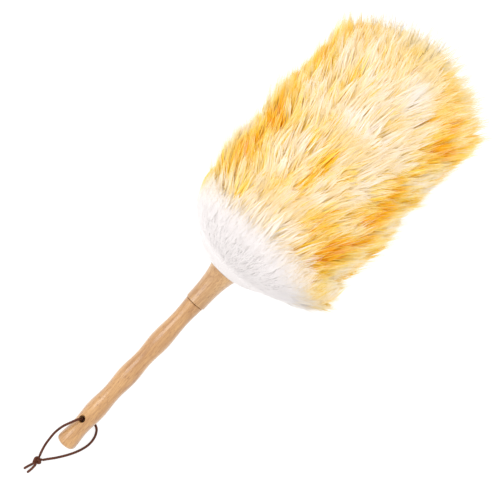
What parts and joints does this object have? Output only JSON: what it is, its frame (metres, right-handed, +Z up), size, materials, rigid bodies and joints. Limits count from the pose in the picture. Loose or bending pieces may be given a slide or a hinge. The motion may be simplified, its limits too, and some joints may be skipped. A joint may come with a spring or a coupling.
{
  "type": "lambswool duster",
  "caption": "Long-pile wool duster head on a flared wooden collar that unscrews from a wavy turned handle with a knotted leather hang loop.",
  "frame": {"origin": "on the table, under the middle of the box round the handle and the wool", "axes": "+X from the handle's butt to the wool's tip along the table, +Y to the side that the cord hole leans to, +Z up"},
  "size_m": [0.659, 0.2008, 0.168],
  "materials": {
    "beech": "clear satin lacquer on turned beech",
    "zinc_steel": "zinc plated",
    "brass": "machined",
    "sheepskin": "raw suede side",
    "wool": "long tufted pile in cream with yellow and orange dye, white at the base",
    "lace_leather": "dark brown, lightly waxed, twisted"
  },
  "bodies": {
    "handle": {"handle": "beech", "hanger_stud": "zinc_steel", "lace_front": "lace_leather", "lace_back": "lace_leather", "lace_knot": "lace_leather", "lace_tail_upper": "lace_leather", "lace_tail_lower": "lace_leather"},
    "washer": {"seat_washer": "zinc_steel"},
    "head": {"collar": "beech", "threaded_insert": "brass", "core_rod": "beech", "pelt_strip": "sheepskin", "pelt_tack_1": "zinc_steel", "pelt_tack_2": "zinc_steel", "pelt_tack_3": "zinc_steel", "pelt_tack_4": "zinc_steel", "fleece": "wool"}
  },
  "joints": [
    {"name": "head_travel", "type": "slide", "parent": "handle", "child": "washer", "axis": [0.9936, 0, 0.1132], "range_m": [0, 0.01501]},
    {"name": "head_turn", "type": "hinge", "parent": "washer", "child": "head", "pos_m": [-0.08274, 0.00764, 0.03601], "axis": [0.9936, 0, 0.1132], "range_deg": [0, 4320]}
  ],
  "couplings": [
    {"joint": "head_travel", "follows": "head_turn", "m_per_rad": 0.00019894}
  ]
}
